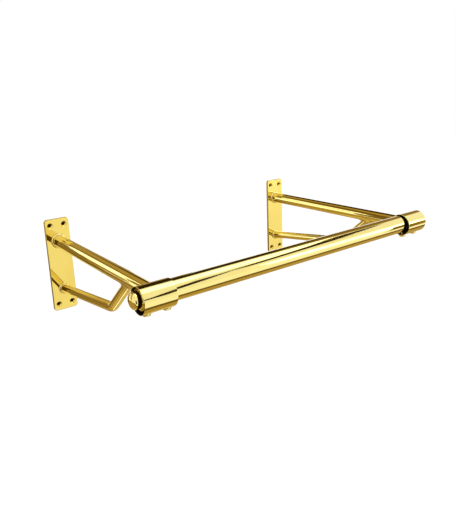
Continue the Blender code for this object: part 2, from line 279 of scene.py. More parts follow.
def off_sink_rim(vert):
    """How far a vertex lies from the nearest countersink's circle, seen from the front."""
    return min(abs(math.hypot(vert.co.x - x, vert.co.z - z) - SINK_RADIUS) for x, z in hole_places)


def on_sink_rim(edge):
    """True for an edge of the circle where a countersink meets the plate's front."""
    return all(
        abs(vert.co.y - plate_front) < SAME_PLACE and off_sink_rim(vert) < RIM_MARGIN for vert in edge.verts)


with editing(left_plate, "EDGE"):
    rim_edges = pick(left_plate, "edges", on_sink_rim)
    bpy.ops.mesh.bevel(offset=HOLE_RIM, segments=HOLE_RIM_SEGMENTS, affect="EDGES")
print("holes at", [(round(x, 4), z) for x, z in hole_places], "rim edges", rim_edges)

# %% [markdown]
# ## Arms
# The arm is a tube that stands out from the plate. Its far end is notched to sit on the round sleeve. A Boolean
# with a bar of the sleeve's size gives that saddle exactly, and the bar is thicker by the thin gap that the CAD
# model leaves between brazed pieces.

# %% Arm notched for the sleeve
sleeve_low, sleeve_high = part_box("left_rail_sleeve")
sleeve_axis = (sleeve_low + sleeve_high) / 2
sleeve_radius = (sleeve_high.z - sleeve_low.z) / 2
arm_low, arm_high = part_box("left_arm_tube")
arm_radius = (arm_high.x - arm_low.x) / 2
arm_z = (arm_low.z + arm_high.z) / 2
ARM_WALL, FIT = 0.002, 0.0003


def sleeve_bar():
    """A bar a little thicker than the sleeve, for notching what sits on it."""
    across = Vector((sleeve_high.x - sleeve_low.x, 0, 0))
    return round_bar("notch_bar", sleeve_axis - across, sleeve_axis + across, sleeve_radius + FIT, TUBE_SIDES)


left_arm = drawn_tube(
    "left_arm", (bracket_x, arm_high.y, arm_z), (bracket_x, sleeve_axis.y, arm_z), arm_radius, ARM_WALL)
cut(left_arm, sleeve_bar())
print("arm", round(2000 * arm_radius, 1), "mm across, from y", round(arm_high.y, 4), "to", round(arm_low.y, 4))

# %% [markdown]
# ## Braces
# A solid rod leaves the plate low down, runs out almost level and is bent up to the arm. A bevelled curve would
# do, but extruding a disc, spinning it through the bend and extruding it again is how the bar itself is
# worked, and it keeps the bend's radius exact. The root is then cut level with the plate and the top is
# notched for the arm.

# %% Path of the brace
BRACE_RADIUS, BEND_RADIUS = 0.007, 0.028
BRACE_ROOT_Z, BRACE_TOP_Y = -0.0415, -0.2565
BEND_Y, BEND_Z = -0.193, -0.016
brace_root = Vector((bracket_x, 0.0, BRACE_ROOT_Z))
brace_corner = Vector((bracket_x, BEND_Y, BEND_Z))
brace_end = Vector((bracket_x, BRACE_TOP_Y, arm_z))
lower_run = (brace_corner - brace_root).normalized()
upper_run = (brace_end - brace_corner).normalized()
bend_angle = lower_run.angle(upper_run)
bend_start = brace_corner - BEND_RADIUS * math.tan(bend_angle / 2) * lower_run
bend_end = brace_corner + BEND_RADIUS * math.tan(bend_angle / 2) * upper_run
bend_centre = bend_start + BEND_RADIUS * Vector((0, lower_run.z, -lower_run.y))
print("brace bends by", round(math.degrees(bend_angle), 1), "degrees")

# %% Bent rod
BRACE_SIDES, BEND_STEPS, ROOT_SPARE = 72, 20, 0.01
rod_start = brace_root - ROOT_SPARE * lower_run
bpy.ops.object.select_all(action="DESELECT")
bpy.ops.mesh.primitive_circle_add(
    vertices=BRACE_SIDES, radius=BRACE_RADIUS, fill_type="NGON", location=rod_start,
    rotation=lower_run.to_track_quat("Z", "Y").to_euler())
left_brace = settle("left_brace")
with editing(left_brace):
    bpy.ops.mesh.select_all(action="SELECT")
    bpy.ops.mesh.extrude_region_move(TRANSFORM_OT_translate={"value": bend_start - rod_start})
    bpy.ops.mesh.spin(steps=BEND_STEPS, angle=bend_angle, center=bend_centre, axis=(1, 0, 0))
    bpy.ops.mesh.extrude_region_move(TRANSFORM_OT_translate={"value": brace_end - bend_end})
    bpy.ops.mesh.select_all(action="SELECT")
    bpy.ops.mesh.remove_doubles(threshold=SAME_PLACE)
    bpy.ops.mesh.normals_make_consistent(inside=False)


def trim_at_plate(piece):
    """Cuts off what reaches past the plate's front and closes the cut."""
    with editing(piece):
        bpy.ops.mesh.select_all(action="SELECT")
        bpy.ops.mesh.bisect(
            plane_co=(0, plate_front - FIT, 0), plane_no=(0, 1, 0), clear_outer=True, use_fill=True)


trim_at_plate(left_brace)
cut(left_brace, round_bar(
    "notch_bar", (bracket_x, 0, arm_z), (bracket_x, sleeve_axis.y, arm_z), arm_radius + FIT, TUBE_SIDES))
print("brace has", len(left_brace.data.polygons), "faces")

# %% [markdown]
# ## Sleeves, screw bosses and grub screws
# The sleeve is a short, loose ring of tube with thin bright rims. Two small bosses stand under it, drilled for
# grub screws that press the rail up, each with a hollow fillet of braze at its foot. The bosses and screws could
# be bevelled cylinders, but turning them from a section gives the fillet and the chamfers at once. The screws
# have a hexagon socket, which a six-sided bar cuts.

# %% Sleeve
SLEEVE_WALL, SLEEVE_SIDES, RIM_BREAK = 0.0008, 160, 0.0003
SCREW_RADIUS, SCREW_SIDES = 0.0025, 48
left_sleeve = drawn_tube(
    "left_sleeve", (sleeve_low.x, sleeve_axis.y, sleeve_axis.z), (sleeve_high.x, sleeve_axis.y, sleeve_axis.z),
    sleeve_radius, SLEEVE_WALL, RIM_BREAK, SLEEVE_SIDES)
screw_x = {
    label: sum(corner.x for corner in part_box(f"left_{label}_grub_screw")) / 2 for label in ("inner", "outer")}
for x in screw_x.values():
    cut(left_sleeve, round_bar(
        "drill", (x, sleeve_axis.y, sleeve_axis.z), (x, sleeve_axis.y, sleeve_low.z - OVERCUT),
        SCREW_RADIUS + FIT, SCREW_SIDES))
print("sleeve", round(2000 * sleeve_radius, 1), "mm across with screws at x", screw_x)

# %% Bosses under the sleeve
BOSS_RADIUS, BOSS_EDGE, BOSS_FILLET = 0.005, 0.0008, 0.0013
boss_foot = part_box("left_inner_screw_boss")[0].z
boss_height = sleeve_axis.z - boss_foot
fillet_middle = (BOSS_RADIUS + BOSS_FILLET, boss_height - sleeve_radius - BOSS_FILLET)
bosses = {}
for label, x in screw_x.items():
    section = [(SCREW_RADIUS + FIT, boss_height / 2), (BOSS_RADIUS + BOSS_FILLET, boss_height / 2)]
    section += arc(fillet_middle, BOSS_FILLET, BOSS_FILLET, 90, 180, 6)
    section.append((BOSS_RADIUS, BOSS_EDGE))
    section += arc((BOSS_RADIUS - BOSS_EDGE, BOSS_EDGE), BOSS_EDGE, BOSS_EDGE, -15, -90, 5)
    section += [(SCREW_RADIUS + 2 * FIT, 0.0), (SCREW_RADIUS + FIT, FIT)]
    bosses[label] = turned(f"left_{label}_boss", section, (x, sleeve_axis.y, boss_foot), (0, 0, 1))
    cut(bosses[label], sleeve_bar())
print("bosses reach down to z", round(boss_foot, 4))

# %% Grub screws
SOCKET_FLATS, SOCKET_DEPTH, SOCKET_SIDES = 0.0025, 0.002, 6
SCREW_CHAMFER = 0.0006
socket_radius = SOCKET_FLATS / 2 / math.cos(math.pi / SOCKET_SIDES)
screws = {}
for label, x in screw_x.items():
    low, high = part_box(f"left_{label}_grub_screw")
    length = high.z - low.z
    section = [
        (0.0, 0.0), (SCREW_RADIUS - SCREW_CHAMFER, 0.0), (SCREW_RADIUS, SCREW_CHAMFER),
        (SCREW_RADIUS, length - SCREW_CHAMFER), (SCREW_RADIUS - SCREW_CHAMFER, length), (0.0, length)]
    screws[label] = turned(
        f"left_{label}_screw", section, (x, sleeve_axis.y, low.z), (0, 0, 1), SCREW_SIDES)
    cut(screws[label], round_bar(
        "key", (x, sleeve_axis.y, low.z - OVERCUT), (x, sleeve_axis.y, low.z + SOCKET_DEPTH),
        socket_radius, SOCKET_SIDES))
print("screws", round(1000 * length, 1), "mm long")

# %% [markdown]
# ## Brazed joints
# Where two pieces meet, filler metal has run in and been dressed smooth. Round the arm and brace roots it stands
# as a narrow rounded collar. A bevelled ring would do, but a turned section sets the round of its face, which is
# what catches a bright and a dark line there.

# %% Rings round the roots
ARM_BEAD, BRACE_BEAD, BEAD_BURIED = 0.0026, 0.0022, 0.003
BEAD_WIDTH, BEAD_STEPS = 0.8, 12


def round_collar(name, inner, leg, centre, axis, buried=0.0):
    """A collar with a rounded face that runs from a bar out on to a flat plate."""
    width = leg * BEAD_WIDTH
    section = [(inner, -buried)] + arc((inner, 0.0), width, leg, 90, 0, BEAD_STEPS)
    if buried:
        section.append((inner + width, -buried))
    return turned(name, section, centre, axis)


left_arm_braze = round_collar(
    "left_arm_braze", arm_radius + FIT, ARM_BEAD, (bracket_x, plate_front - FIT, arm_z), (0, -1, 0))
root_out = brace_root + lower_run * ((plate_front - FIT) / lower_run.y)
left_brace_braze = round_collar(
    "left_brace_braze", BRACE_RADIUS + FIT, BRACE_BEAD, root_out, lower_run, BEAD_BURIED)
trim_at_plate(left_brace_braze)
print("root rings made at z", round(arm_z, 4), "and", round(root_out.z, 4))

# %% [markdown]
# Where a bar meets a round tube the joint line is a saddle, and no turned ring follows it. The line is worked
# out point by point, and a hollow curve is drawn at each point from one surface to the other, so the brace
# flares into the arm and the arm into the sleeve.

# %% Joints that follow a saddle
SADDLE_STEPS, CURVE_STEPS = 96, 8


def saddle_joint(name, on_bar, on_tube, in_corner):
    """A filled joint whose section at each angle runs from the bar to the tube in a hollow curve."""
    points, faces = [], []
    ring = CURVE_STEPS + 2
    for step in range(SADDLE_STEPS):
        angle = 2 * math.pi * step / SADDLE_STEPS
        start, end, corner = on_bar(angle), on_tube(angle), in_corner(angle)
        for i in range(CURVE_STEPS + 1):
            t = i / CURVE_STEPS
            points.append((1 - t) ** 2 * start + 2 * t * (1 - t) * corner + t * t * end)
        points.append(corner)
    for step in range(SADDLE_STEPS):
        here, after = step * ring, (step + 1) % SADDLE_STEPS * ring
        for i in range(ring):
            j = (i + 1) % ring
            faces.append((here + i, after + i, after + j, here + j))
    mesh = bpy.data.meshes.new(name)
    mesh.from_pydata(points, [], faces)
    piece = bpy.data.objects.new(name, mesh)
    bpy.context.scene.collection.objects.link(piece)
    with editing(piece):
        bpy.ops.mesh.select_all(action="SELECT")
        bpy.ops.mesh.normals_make_consistent(inside=False)
    return piece


# %% Arm into sleeve
SLEEVE_BEAD = 0.0025


def on_sleeve(angle, reach, lift):
    """A point over the sleeve's surface, at an angle and distance round the arm's axis."""
    x, z = reach * math.cos(angle), reach * math.sin(angle)
    surface_y = sleeve_axis.y + math.sqrt((sleeve_radius + FIT) ** 2 - z * z)
    return Vector((bracket_x + x, surface_y + lift, arm_z + z))


left_sleeve_braze = saddle_joint(
    "left_sleeve_braze",
    lambda angle: on_sleeve(angle, arm_radius + FIT, SLEEVE_BEAD),
    lambda angle: on_sleeve(angle, arm_radius + FIT + SLEEVE_BEAD, 0.0),
    lambda angle: on_sleeve(angle, arm_radius + FIT, 0.0))
print("sleeve joint has", len(left_sleeve_braze.data.polygons), "faces")

# %% Brace into arm
TOP_BEAD, TOP_SPREAD, TOP_FLARE = 0.004, 0.0022, 0.003
brace_side = Vector((0, upper_run.z, -upper_run.y))


def on_arm(angle, reach, drop, flare=0.0):
    """A point where a bar of some radius round the brace's axis meets the arm, drawn back along the brace."""
    x = reach * math.cos(angle)
    z = -math.sqrt((arm_radius + FIT) ** 2 - x * x)
    across = brace_end + Vector((x, 0, 0)) + (reach + flare) * math.sin(angle) * brace_side
    along = (arm_z + z - across.z) / upper_run.z
    return across + (along - drop) * upper_run


left_top_braze = saddle_joint(
    "left_top_braze",
    lambda angle: on_arm(angle, BRACE_RADIUS + FIT, TOP_BEAD),
    lambda angle: on_arm(angle, BRACE_RADIUS + FIT + TOP_SPREAD, 0.0, TOP_FLARE),
    lambda angle: on_arm(angle, BRACE_RADIUS + FIT, 0.0))
print("brace joint has", len(left_top_braze.data.polygons), "faces")

# %% [markdown]
# ## Rail and end caps
# The rail is one long tube. Its ends are closed by turned plugs. Each has a slimmer stem that stands out of the
# sleeve's dark mouth and ends in a low dome, with its edges broken so that they catch the light. A dome could be
# a scaled sphere, but one spun section gives stem, dome and plug as a single closed piece.

# %% Rail tube
rail_low, rail_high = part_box("rail_tube")
rail_axis = (rail_low + rail_high) / 2
rail_radius = (rail_high.z - rail_low.z) / 2
rail_length = rail_high.x - rail_low.x
RAIL_WALL, RAIL_SIDES = 0.0015, 160
rail = drawn_tube(
    "rail", (rail_low.x, rail_axis.y, rail_axis.z), (rail_high.x, rail_axis.y, rail_axis.z),
    rail_radius, RAIL_WALL, RIM_BREAK, RAIL_SIDES)
print("rail", round(1000 * rail_length, 1), "mm long and", round(2000 * rail_radius, 1), "mm across")

# %% Domed end plug
CAP_RADIUS, CAP_DOME, CAP_PLUG, PLUG_CHAMFER = 0.0106, 0.005, 0.012, 0.001
CAP_STEPS, DOME_STEPS = 128, 24
cap_stem = rail_low.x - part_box("left_end_cap")[0].x - CAP_DOME
plug_radius = rail_radius - RAIL_WALL - FIT
cap_section = arc((0.0, cap_stem), CAP_RADIUS, CAP_DOME, 90, 0, DOME_STEPS)
cap_section[0] = (0.0, cap_stem + CAP_DOME)
cap_section += [
    (CAP_RADIUS, FIT), (CAP_RADIUS + FIT, 0.0), (plug_radius, 0.0), (plug_radius, PLUG_CHAMFER - CAP_PLUG),
    (plug_radius - PLUG_CHAMFER, -CAP_PLUG), (0.0, -CAP_PLUG)]
left_cap = turned("left_cap", cap_section, (rail_low.x, rail_axis.y, rail_axis.z), (-1, 0, 0), CAP_STEPS)
print("plug stem", round(1000 * cap_stem, 2), "mm long and", round(2000 * CAP_RADIUS, 1), "mm across")

# %% [markdown]
# ## The right bracket
# The two brackets mirror each other about the middle of the rail, so every left piece is copied with its own
# mesh and scaled by minus one across the middle. That turns the faces inside out, so the normals are
# made to point outwards again.

# %% Mirrored copies
def mirrored(piece):
    """A copy of a left piece, mirrored to the right."""
    only(piece)
    bpy.ops.object.duplicate(linked=False)
    twin = bpy.context.object
    twin.name = twin.data.name = piece.name.replace("left_", "right_")
    with editing(twin):
        bpy.ops.mesh.select_all(action="SELECT")
        bpy.ops.transform.resize(value=(-1, 1, 1), center_override=(0, 0, 0))
        bpy.ops.mesh.normals_make_consistent(inside=False)
    return twin


left_pieces = [
    left_plate, left_arm, left_brace, left_arm_braze, left_brace_braze, left_top_braze, left_sleeve_braze,
    left_sleeve, bosses["inner"], bosses["outer"], screws["inner"], screws["outer"], left_cap]
right_pieces = [mirrored(piece) for piece in left_pieces]
print("copied", len(right_pieces), "pieces to the right")

# %% [markdown]
# ## Brass finishes
# Polished brass is a metal whose base colour is the colour of its reflections. What makes it look real is what
# departs from a perfect mirror: soft waves left by the polishing wheel, faint lines along its path, patches of
# thin tarnish, and duller metal with painted shade round the joints. These are shared node groups, so each
# finish only sets its own values.

# %% Node helpers
def node(tree, kind, **values):
    """Adds a node and sets its properties and its unlinked inputs."""
    made = tree.nodes.new(kind)
    for key, value in values.items():
        if hasattr(made, key):
            setattr(made, key, value)
        else:
            made.inputs[key.replace("_", " ")].default_value = value
    return made


def math_node(tree, operation, first, second=None):
    """A Math node; an input is a number or another node's output."""
    made = tree.nodes.new("ShaderNodeMath")
    made.operation = operation
    for socket, value in zip(made.inputs, (first, second)):
        if isinstance(value, bpy.types.NodeSocket):
            tree.links.new(value, socket)
        elif value is not None:
            socket.default_value = value
    return made.outputs[0]


def ramp_between(tree, value, low, high, new_low=0.0, new_high=1.0):
    """A smooth Map Range from one span of values to another."""
    made = node(tree, "ShaderNodeMapRange", interpolation_type="SMOOTHSTEP")
    tree.links.new(value, made.inputs["Value"])
    for key, number in (("From Min", low), ("From Max", high), ("To Min", new_low), ("To Max", new_high)):
        made.inputs[key].default_value = number
    return made.outputs["Result"]


# %% [markdown]
# The first group is the polish itself. Two kinds of noise on the object's own coordinates give patches of
# tarnish and the slow waves of a hand-polished face, and a third, on coordinates stretched along the piece,
# gives the fine lines. An image of scratches could do the same, but noise has no seams and fits any piece.

# %% Group: wheel polish
def make_group(name, inputs, outputs):
    """An empty shader group with named sockets."""
    group = bpy.data.node_groups.new(name, "ShaderNodeTree")
    for label, kind in inputs:
        group.interface.new_socket(label, in_out="INPUT", socket_type=kind)
    for label, kind in outputs:
        group.interface.new_socket(label, in_out="OUTPUT", socket_type=kind)
    return group, group.nodes.new("NodeGroupInput"), group.nodes.new("NodeGroupOutput")


FLOAT, VECTOR = "NodeSocketFloat", "NodeSocketVector"
TARNISH_SPAN, HAZE_SPAN, LINE_DEPTH = (0.42, 0.72), (0.14, 0.4), 0.03
polish, given, result = make_group(
    "wheel_polish", [("Place", VECTOR), ("Stretched", VECTOR)],
    [("Tarnish", FLOAT), ("Haze", FLOAT), ("Height", FLOAT)])
clouds = node(polish, "ShaderNodeTexNoise", Scale=17.0, Detail=5.0, Roughness=0.6)
waves = node(polish, "ShaderNodeTexNoise", Scale=38.0, Detail=1.0, Roughness=0.4)
lines = node(polish, "ShaderNodeTexNoise", Scale=1.0, Detail=3.0, Roughness=0.65)
for texture, source in ((clouds, "Place"), (waves, "Place"), (lines, "Stretched")):
    polish.links.new(given.outputs[source], texture.inputs["Vector"])
polish.links.new(ramp_between(polish, clouds.outputs["Fac"], *TARNISH_SPAN), result.inputs["Tarnish"])
haze = math_node(polish, "MULTIPLY", clouds.outputs["Fac"], lines.outputs["Fac"])
polish.links.new(ramp_between(polish, haze, *HAZE_SPAN), result.inputs["Haze"])
fine = math_node(polish, "MULTIPLY", lines.outputs["Fac"], LINE_DEPTH)
polish.links.new(math_node(polish, "ADD", waves.outputs["Fac"], fine), result.inputs["Height"])
print("group", polish.name, "with", len(polish.nodes), "nodes")

# %% [markdown]
# The second group marks the metal near a brazed joint, where the parts meet. The finishes use it to paint shade
# there, a little browner, and to make the metal a little duller. It could be painted on the vertices, but a
# distance from the joint needs no fine mesh. Both brackets share it, because it takes the place along the rail
# without its sign.

# %% Group: joint shade
RAGGED, FADE_SPAN = 0.5, (1.25, 0.55)
shade, given, result = make_group(
    "joint_shade", [("Place", VECTOR), ("Joint", VECTOR), ("Reach", FLOAT)], [("Mask", FLOAT)])
apart = node(shade, "ShaderNodeSeparateXYZ")
folded = node(shade, "ShaderNodeCombineXYZ")
gap = node(shade, "ShaderNodeVectorMath", operation="DISTANCE")
# Noise frays the edge of the painted shade round the joint.
fray_noise = node(shade, "ShaderNodeTexNoise", Scale=160.0, Detail=4.0)
shade.links.new(given.outputs["Place"], apart.inputs[0])
shade.links.new(math_node(shade, "ABSOLUTE", apart.outputs["X"]), folded.inputs["X"])
shade.links.new(apart.outputs["Y"], folded.inputs["Y"])
shade.links.new(apart.outputs["Z"], folded.inputs["Z"])
shade.links.new(folded.outputs[0], gap.inputs[0])
shade.links.new(given.outputs["Joint"], gap.inputs[1])
shade.links.new(given.outputs["Place"], fray_noise.inputs["Vector"])
nearness = math_node(shade, "DIVIDE", gap.outputs["Value"], given.outputs["Reach"])
ragged = math_node(shade, "ADD", nearness, math_node(shade, "MULTIPLY", fray_noise.outputs["Fac"], RAGGED))
shade.links.new(ramp_between(shade, ragged, *FADE_SPAN), result.inputs["Mask"])
print("group", shade.name, "with", len(shade.nodes), "nodes")

# %% [markdown]
# Each finish mixes a clean and a tarnished colour, and takes its roughness and bump from the polish group. The
# stretch sets which way the wheel ran on that piece. One finish for all would be simpler, but plates, tubes and
# filler are worked differently, and it shows. The default colours are paler than the plates' brass: partly the
# brass's own colour, and partly a painted highlight.

# %% Painted shade round a joint
# The brown mixed in round a joint is painted shade where the parts meet; the added roughness is duller metal.
PAINTED_SHADE_BROWN, SHADE_SHARE, DULL_SHARE = (0.55, 0.36, 0.08, 1), 0.35, 0.08
TOP_BACK, TOP_DOWN = 0.012, 0.011
JOINT_CENTRES = {
    "arm_root": (-bracket_x, plate_front, arm_z),
    "brace_root": (-bracket_x, plate_front, root_out.z),
    "brace_top": (-bracket_x, brace_end.y + TOP_BACK, arm_z - TOP_DOWN),
    "sleeve": (-bracket_x, sleeve_axis.y + sleeve_radius, arm_z),
}


def shaded_near_joint(tree, place, joint, reach, tint, gloss):
    """The colour and roughness of a finish with painted shade and duller metal round one joint."""
    near = node(tree, "ShaderNodeGroup", node_tree=shade)
    near.inputs["Joint"].default_value = JOINT_CENTRES[joint]
    near.inputs["Reach"].default_value = reach
    tree.links.new(place.outputs["Object"], near.inputs["Place"])
    shade_mix = node(tree, "ShaderNodeMix", data_type="RGBA")
    tree.links.new(math_node(tree, "MULTIPLY", near.outputs["Mask"], SHADE_SHARE), shade_mix.inputs["Factor"])
    tree.links.new(tint, shade_mix.inputs["A"])
    shade_mix.inputs["B"].default_value = PAINTED_SHADE_BROWN
    duller = math_node(tree, "MULTIPLY", near.outputs["Mask"], DULL_SHARE)
    return shade_mix.outputs["Result"], math_node(tree, "ADD", gloss, duller)


print("joints at", {joint: [round(x, 3) for x in centre] for joint, centre in JOINT_CENTRES.items()})

# %% A brass finish
# These default colours are the brass's own colour made paler, partly as a painted highlight on tubes, sleeves,
# caps and screws.
CLEAN_AND_HIGHLIGHT, TARNISHED_AND_HIGHLIGHT = (0.95, 0.80, 0.265, 1), (0.93, 0.75, 0.21, 1)
LACQUER_ROUGHNESS, WAVE_HEIGHT = 0.03, 0.002


def brass(name, stretch, clean=CLEAN_AND_HIGHLIGHT, smooth=(0.03, 0.09), waves=0.05, joints=(), reach=0.02,
          tarnished=TARNISHED_AND_HIGHLIGHT, lacquer=1.0):
    """A polished brass whose wheel marks run along the small numbers of stretch."""
    material = bpy.data.materials.new(name)
    material.use_nodes = True
    tree = material.node_tree
    shader = tree.nodes["Principled BSDF"]
    shader.inputs["Metallic"].default_value = 1.0
    shader.inputs["Coat Weight"].default_value = lacquer
    shader.inputs["Coat Roughness"].default_value = LACQUER_ROUGHNESS
    place = node(tree, "ShaderNodeTexCoord")
    along = node(tree, "ShaderNodeMapping", Scale=stretch)
    marks = node(tree, "ShaderNodeGroup", node_tree=polish)
    tree.links.new(place.outputs["Object"], along.inputs["Vector"])
    tree.links.new(place.outputs["Object"], marks.inputs["Place"])
    tree.links.new(along.outputs["Vector"], marks.inputs["Stretched"])
    colour = node(tree, "ShaderNodeMix", data_type="RGBA")
    colour.inputs["A"].default_value, colour.inputs["B"].default_value = clean, tarnished
    tree.links.new(marks.outputs["Tarnish"], colour.inputs["Factor"])
    tint = colour.outputs["Result"]
    gloss = ramp_between(tree, marks.outputs["Haze"], 0.0, 1.0, *smooth)
    for joint in joints:
        tint, gloss = shaded_near_joint(tree, place, joint, reach, tint, gloss)
    bump = node(tree, "ShaderNodeBump", Strength=waves, Distance=WAVE_HEIGHT)
    tree.links.new(marks.outputs["Height"], bump.inputs["Height"])
    tree.links.new(tint, shader.inputs["Base Color"])
    tree.links.new(gloss, shader.inputs["Roughness"])
    tree.links.new(bump.outputs["Normal"], shader.inputs["Normal"])
    return material


# %% Finishes of this rail
PLATE_CLEAN, PLATE_TARNISHED = (0.85, 0.645, 0.125, 1), (0.82, 0.60, 0.10, 1)
# The edge colour paints a dark reflection on the plates' sides, and the two bore colours paint shade inside the
# sleeves.
BEAD_CLEAN, EDGE_REFLECTION_BROWN = (0.93, 0.74, 0.24, 1), (0.46, 0.32, 0.06, 1)
BORE_SHADE_DARK, BORE_SHADE_BROWN = (0.05, 0.03, 0.008, 1), (0.09, 0.055, 0.015, 1)
plate_brass = brass(
    "plate_brass", (900, 900, 40), clean=PLATE_CLEAN, tarnished=PLATE_TARNISHED, smooth=(0.02, 0.06),
    waves=0.03, joints=("arm_root", "brace_root"), reach=0.014)
arm_brass = brass(
    "arm_brass", (1500, 30, 1500), waves=0.06, joints=("arm_root", "brace_top", "sleeve"), reach=0.015)
rod_brass = brass("rod_brass", (1500, 40, 1500), waves=0.08, joints=("brace_root", "brace_top"), reach=0.013)
rail_brass = brass("rail_brass", (25, 1500, 1500), waves=0.03)
sleeve_brass = brass("sleeve_brass", (60, 1500, 1500), waves=0.04, joints=("sleeve",), reach=0.016)
cap_brass = brass("cap_brass", (60, 600, 600), waves=0.03)
screw_brass = brass("screw_brass", (1800, 1800, 200), smooth=(0.2, 0.32), waves=0.08)
bead_brass = brass("bead_brass", (600, 600, 600), clean=BEAD_CLEAN, smooth=(0.06, 0.14), waves=0.15)
# Inside the sleeves the near-black colour is painted shade; the higher roughness and bare metal are the bore's
# own.
bore_brass = brass(
    "bore_brass", (60, 900, 900), clean=BORE_SHADE_DARK, tarnished=BORE_SHADE_BROWN, smooth=(0.5, 0.65), lacquer=0.0)
# On the plates' sides the dark brown is a painted reflection of dark surroundings; the roughness is the sides'
# own.
edge_brass = brass(
    "edge_brass", (200, 1200, 200), clean=EDGE_REFLECTION_BROWN, tarnished=PAINTED_SHADE_BROWN, smooth=(0.16, 0.3), lacquer=0.0)
print("finishes", [m.name for m in bpy.data.materials if m.name.endswith("_brass")])

# %% [markdown]
# ## Finishing the pieces
# Inside the sleeves and round the plates' sides, those faces get a second, duller finish in a dark colour:
# painted shade in the sleeves' bores and a painted dark reflection on the plates' sides. They could be separate
# pieces, but faces picked by place keep each piece whole.

# %% Faces with a second, painted-dark finish
EDGE_SLOPE, HOLE_MARGIN = 0.6, 1.2


def in_bore(face):
    """True for a face of a sleeve that looks at the rail."""
    outward = Vector((0, face.center.y - sleeve_axis.y, face.center.z - sleeve_axis.z))
    return face.normal.dot(outward) < 0 and outward.length < sleeve_radius - SLEEVE_WALL / 2


def on_plate_side(face):
    """True for a face round the outside of a plate."""
    from_hole = min(math.hypot(abs(face.center.x) - abs(x), face.center.z - z) for x, z in hole_places)
    return abs(face.normal.y) < EDGE_SLOPE and from_hole > HOLE_MARGIN * SINK_RADIUS


SECOND_FINISH_PAINTED_DARK = [(sleeve_brass, bore_brass, in_bore), (plate_brass, edge_brass, on_plate_side)]
print("second finishes", [second.name for first, second, test in SECOND_FINISH_PAINTED_DARK])

# %% [markdown]
# Smooth shading by angle keeps the rims crisp, and weighted normals keep the broad flat faces truly flat next to
# their rounded edges, which a mirror finish shows at once. Each piece then moves with its CAD body and stands
# for its node.

# %% Shading, finish and body of each piece
SMOOTH_ANGLE = math.radians(32)


def finish(piece, material, body, cad_node):
    """Shades one piece, gives it its finishes, puts it on its CAD body and hides the CAD node."""
    only(piece)
    bpy.ops.object.shade_smooth_by_angle(angle=SMOOTH_ANGLE)
    flat = piece.modifiers.new("flat_faces", "WEIGHTED_NORMAL")
    flat.keep_sharp = True
    bpy.ops.object.modifier_apply(modifier=flat.name)
    piece.data.materials.clear()
    piece.data.materials.append(material)
    for first, second, test in SECOND_FINISH_PAINTED_DARK:
        if material == first:
            piece.data.materials.append(second)
            for face in piece.data.polygons:
                face.material_index = int(test(face))
    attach(piece, body)
    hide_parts(cad_node)
    print(piece.name, "rides on", body, "and stands for", cad_node)


PIECE_PLAN = {
    "plate": (plate_brass, "brackets", "wall_plate", "plate_brass"),
    "arm": (arm_brass, "brackets", "arm_tube", "tube_brass"),
    "brace": (rod_brass, "brackets", "brace_rod", "rod_brass"),
    "arm_braze": (bead_brass, "brackets", "arm_root_bead", "bead_brass"),
    "brace_braze": (bead_brass, "brackets", "brace_root_bead", "bead_brass"),
    "top_braze": (bead_brass, "brackets", "brace_top_bead", "bead_brass"),
    "sleeve_braze": (bead_brass, "brackets", "sleeve_bead", "bead_brass"),
    "sleeve": (sleeve_brass, "brackets", "rail_sleeve", "tube_brass"),
    "inner_boss": (sleeve_brass, "brackets", "inner_screw_boss", "bead_brass"),
    "outer_boss": (sleeve_brass, "brackets", "outer_screw_boss", "bead_brass"),
    "inner_screw": (screw_brass, "{side}_inner_screw", "inner_grub_screw", "screw_brass"),
    "outer_screw": (screw_brass, "{side}_outer_screw", "outer_grub_screw", "screw_brass"),
    "cap": (cap_brass, "rail", "end_cap", "cap_brass"),
}
for piece in left_pieces + right_pieces:
    side, kind = piece.name.split("_", 1)
    material, body, cad_node, slot = PIECE_PLAN[kind]
    finish(piece, material, body.format(side=side), f"{side}_{cad_node}")
finish(rail, rail_brass, "rail", "rail_tube")

# %% [markdown]
# ## Floor, background and light
# The photograph has a plain white background. The floor is pale and far below, and the world is white to the
# camera and in reflections. More light would make them white too, but it would also bleach the brass, so the
# last bit of white is given only to the rays that see them.

# %% Floor
FLOOR_Z, FLOOR_SIZE = -0.9, 12.0
FLOOR_GREY, FLOOR_GLOW = (0.6, 0.6, 0.6, 1), 0.46
bpy.ops.object.select_all(action="DESELECT")
bpy.ops.mesh.primitive_plane_add(size=FLOOR_SIZE, location=(0, 0, FLOOR_Z))
floor = settle("floor")
pale = bpy.data.materials.new("pale_floor")
pale.use_nodes = True
cloth = pale.node_tree
surface = cloth.nodes["Principled BSDF"]
surface.inputs["Base Color"].default_value = FLOOR_GREY
surface.inputs["Roughness"].default_value = 0.9
surface.inputs["Specular IOR Level"].default_value = 0.0
surface.inputs["Emission Color"].default_value = (1, 1, 1, 1)


def seen_rays(tree):
    """One for rays from the camera, from reflections and through glass, and nought for the rest."""
    path = node(tree, "ShaderNodeLightPath")
    seen = math_node(tree, "ADD", path.outputs["Is Camera Ray"], path.outputs["Is Glossy Ray"])
    return math_node(tree, "ADD", seen, path.outputs["Is Transmission Ray"])


cloth.links.new(math_node(cloth, "MULTIPLY", seen_rays(cloth), FLOOR_GLOW), surface.inputs["Emission Strength"])
floor.data.materials.append(pale)
print("floor at", FLOOR_Z, "m")

# %% World
AMBIENT = 0.9
world = bpy.data.worlds.new("white_studio")
bpy.context.scene.world = world
world.use_nodes = True
sky = world.node_tree
background = sky.nodes["Background"]
background.inputs["Color"].default_value = (1, 1, 1, 1)
strength = math_node(sky, "ADD", math_node(sky, "MULTIPLY", seen_rays(sky), 1.0 - AMBIENT), AMBIENT)
sky.links.new(strength, background.inputs["Strength"])
print("world gives the object", AMBIENT, "of white")

